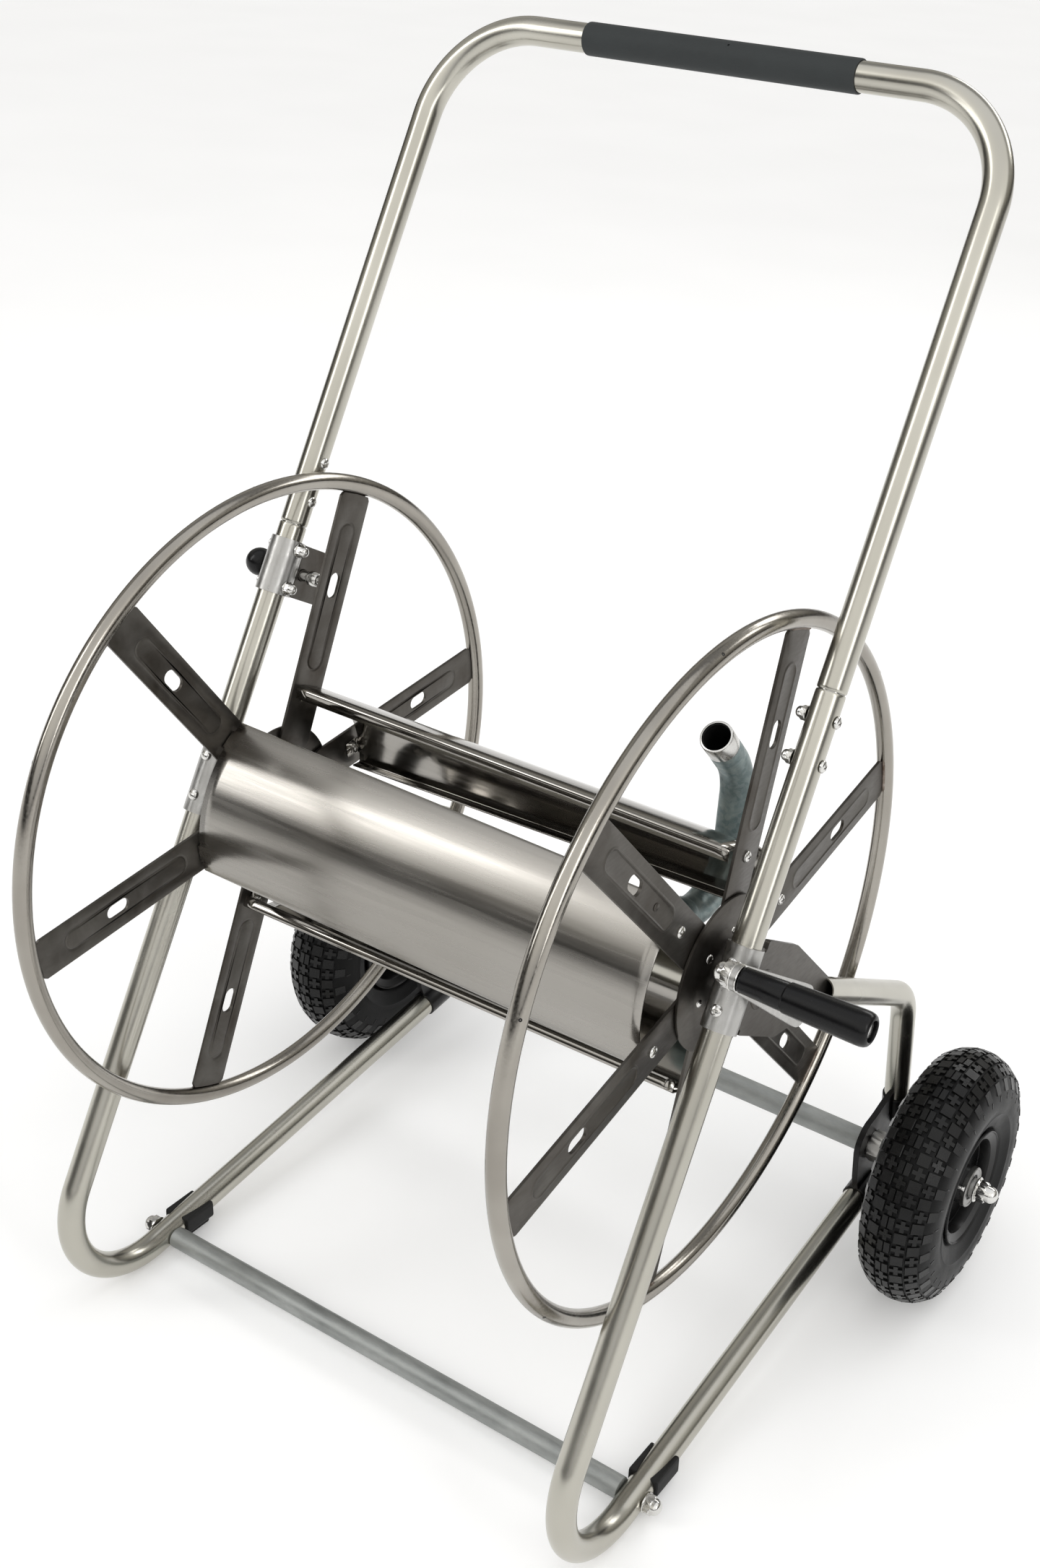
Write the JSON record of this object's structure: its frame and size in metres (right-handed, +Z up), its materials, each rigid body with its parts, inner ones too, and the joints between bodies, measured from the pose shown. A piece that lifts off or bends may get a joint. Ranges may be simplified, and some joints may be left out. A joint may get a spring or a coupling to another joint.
{
  "type": "garden hose reel cart",
  "caption": "Two-wheeled cart of bent steel tube with a push handle and an open hose drum turned by a crank, with a pin brake and a curved outlet pipe.",
  "frame": {"origin": "on the floor under the drum axle, midway between the two side frames", "axes": "+X to the crank side along the drum axle, -Y to the side with the feet, +Y to the wheels, +Z up"},
  "size_m": [0.8473, 0.7162, 1.1402],
  "materials": {
    "polished_tube": "polished stainless tube",
    "ring_tube": "polished stainless tube with faint heat tint",
    "soft_grip": "matt foam rubber",
    "zinc_bar": "zinc plated",
    "black_rubber": "moulded, matt",
    "black_paint": "black powder coat",
    "satin_steel": "satin sheet",
    "bright_fastener": "bright plated",
    "dark_steel": "dark brushed sheet",
    "mirror_sheet": "mirror polished sheet",
    "galvanised_pipe": "hot dip galvanised",
    "black_plastic": "semi gloss moulding",
    "tyre_rubber": "worn block tread"
  },
  "bodies": {
    "frame": {"frame_tube_left": "polished_tube", "frame_tube_right": "polished_tube", "rear_tube_left": "polished_tube", "rear_tube_right": "polished_tube", "handle_tube": "polished_tube", "handle_grip": "soft_grip", "front_crossbar": "zinc_bar", "rear_crossbar": "zinc_bar", "foot_block_left": "black_rubber", "foot_block_right": "black_rubber", "wheel_bracket_left": "black_paint", "wheel_bracket_right": "black_paint", "hub_bracket_left": "satin_steel", "hub_bracket_right": "satin_steel", "handle_bolt_left_upper": "bright_fastener", "handle_bolt_left_lower": "bright_fastener", "handle_bolt_right_upper": "bright_fastener", "handle_bolt_right_lower": "bright_fastener", "bracket_screw_left_upper": "bright_fastener", "bracket_screw_left_lower": "bright_fastener", "bracket_screw_right_upper": "bright_fastener", "bracket_screw_right_lower": "bright_fastener", "bar_bolt_left": "bright_fastener", "bar_bolt_right": "bright_fastener", "wheel_axle_left": "bright_fastener", "wheel_axle_right": "bright_fastener", "brake_barrel": "bright_fastener", "brake_bracket": "dark_steel"},
    "drum": {"disc_ring_left": "ring_tube", "disc_ring_right": "ring_tube", "spoke_left_1": "dark_steel", "spoke_left_2": "dark_steel", "spoke_left_3": "dark_steel", "spoke_left_4": "dark_steel", "spoke_left_5": "dark_steel", "spoke_left_6": "dark_steel", "spoke_right_1": "dark_steel", "spoke_right_2": "dark_steel", "spoke_right_3": "dark_steel", "spoke_right_4": "dark_steel", "spoke_right_5": "dark_steel", "spoke_right_6": "dark_steel", "hub_plate_left": "dark_steel", "hub_plate_right": "dark_steel", "slat_front": "mirror_sheet", "slat_bottom": "mirror_sheet", "slat_rear": "mirror_sheet", "core_tube": "ring_tube", "outlet_pipe": "galvanised_pipe", "axle_stub_left": "satin_steel", "axle_stub_right": "satin_steel", "crank_arm": "satin_steel", "crank_bolt": "bright_fastener"},
    "crank_handle": {"crank_grip": "black_plastic"},
    "brake": {"brake_pin": "bright_fastener", "brake_knob": "black_plastic"},
    "wheel_left": {"wheel_tyre_left": "tyre_rubber", "wheel_rim_left": "black_paint"},
    "wheel_right": {"wheel_tyre_right": "tyre_rubber", "wheel_rim_right": "black_paint"}
  },
  "joints": [
    {"name": "drum_spin", "type": "hinge", "parent": "frame", "child": "drum", "pos_m": [0, 0, 0.466], "axis": [1, 0, 0], "continuous": true},
    {"name": "crank_handle_spin", "type": "hinge", "parent": "drum", "child": "crank_handle", "pos_m": [0.3213, -0.11311, 0.55185], "axis": [1, 0, 0], "continuous": true},
    {"name": "wheel_left_spin", "type": "hinge", "parent": "frame", "child": "wheel_left", "pos_m": [-0.359, 0.281, 0.13], "axis": [1, 0, 0], "continuous": true},
    {"name": "wheel_right_spin", "type": "hinge", "parent": "frame", "child": "wheel_right", "pos_m": [0.359, 0.281, 0.13], "axis": [1, 0, 0], "continuous": true},
    {"name": "brake_slide", "type": "slide", "parent": "frame", "child": "brake", "axis": [1, 0, 0], "range_m": [0, 0.014]}
  ]
}
